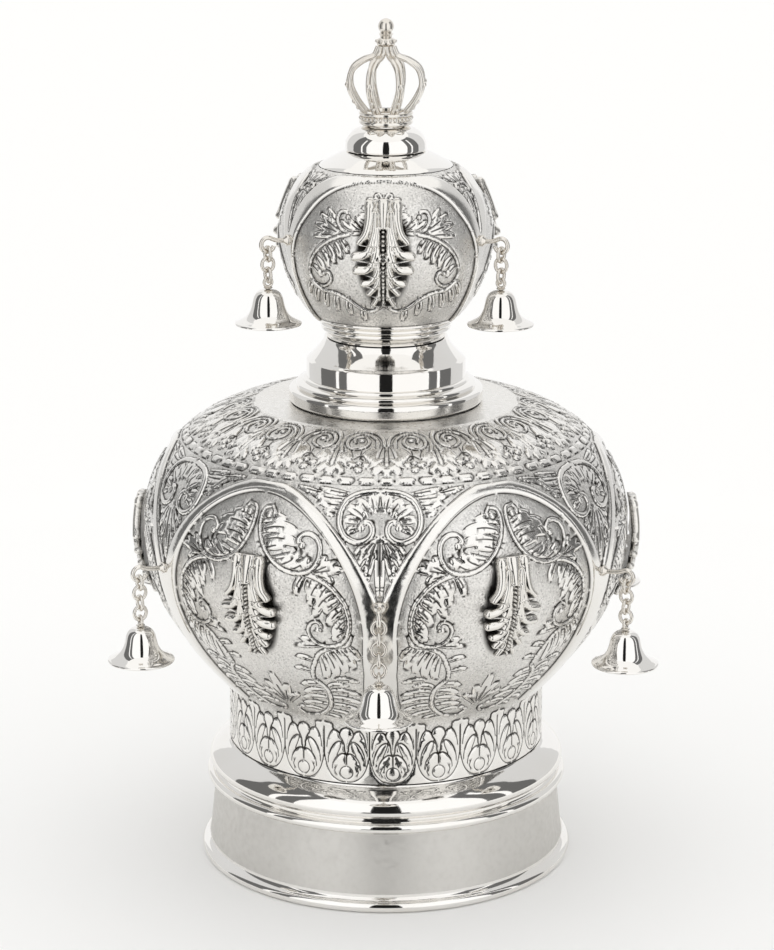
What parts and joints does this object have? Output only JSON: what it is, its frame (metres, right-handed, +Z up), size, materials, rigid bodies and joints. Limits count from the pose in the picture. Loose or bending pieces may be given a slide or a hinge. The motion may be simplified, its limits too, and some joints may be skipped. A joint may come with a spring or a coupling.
{
  "type": "torah crown",
  "caption": "Silver torah crown with a polished foot, two chased bulbs, hanging bells, applied leaves and a small cast crown on top.",
  "frame": {"origin": "on the table under the axis of the crown, at the underside of the foot", "axes": "+Z up along the axis; -Y is the front, where two large panels meet; +X to the right"},
  "size_m": [0.2334, 0.2674, 0.3732],
  "materials": {
    "polished_silver": "spun silver, mirror polished, faint hairline wear",
    "chased_silver": "raised and chased silver, bright relief, dark patina in the lines, stippled ground",
    "cast_silver": "cast silver, oxidised in the hollows, rubbed bright on the high points",
    "wire_silver": "bright silver wire, slightly worn"
  },
  "bodies": {
    "root": {"foot": "polished_silver", "large_bulb": "chased_silver", "neck_collar": "polished_silver", "small_bulb": "chased_silver", "dome_knob": "polished_silver", "finial_crown": "cast_silver", "large_leaf_1": "cast_silver", "large_eye_1": "wire_silver", "large_chain_1": "wire_silver", "large_pin_1": "wire_silver", "large_bell_1": "polished_silver", "large_leaf_2": "cast_silver", "large_eye_2": "wire_silver", "large_chain_2": "wire_silver", "large_pin_2": "wire_silver", "large_bell_2": "polished_silver", "large_leaf_3": "cast_silver", "large_eye_3": "wire_silver", "large_chain_3": "wire_silver", "large_pin_3": "wire_silver", "large_bell_3": "polished_silver", "large_leaf_4": "cast_silver", "large_eye_4": "wire_silver", "large_chain_4": "wire_silver", "large_pin_4": "wire_silver", "large_bell_4": "polished_silver", "large_leaf_5": "cast_silver", "large_eye_5": "wire_silver", "large_chain_5": "wire_silver", "large_pin_5": "wire_silver", "large_bell_5": "polished_silver", "large_leaf_6": "cast_silver", "large_eye_6": "wire_silver", "large_chain_6": "wire_silver", "large_pin_6": "wire_silver", "large_bell_6": "polished_silver", "small_leaf_1": "cast_silver", "small_eye_1": "wire_silver", "small_chain_1": "wire_silver", "small_pin_1": "wire_silver", "small_bell_1": "polished_silver", "small_leaf_2": "cast_silver", "small_eye_2": "wire_silver", "small_chain_2": "wire_silver", "small_pin_2": "wire_silver", "small_bell_2": "polished_silver", "small_leaf_3": "cast_silver", "small_eye_3": "wire_silver", "small_chain_3": "wire_silver", "small_pin_3": "wire_silver", "small_bell_3": "polished_silver"}
  },
  "joints": []
}
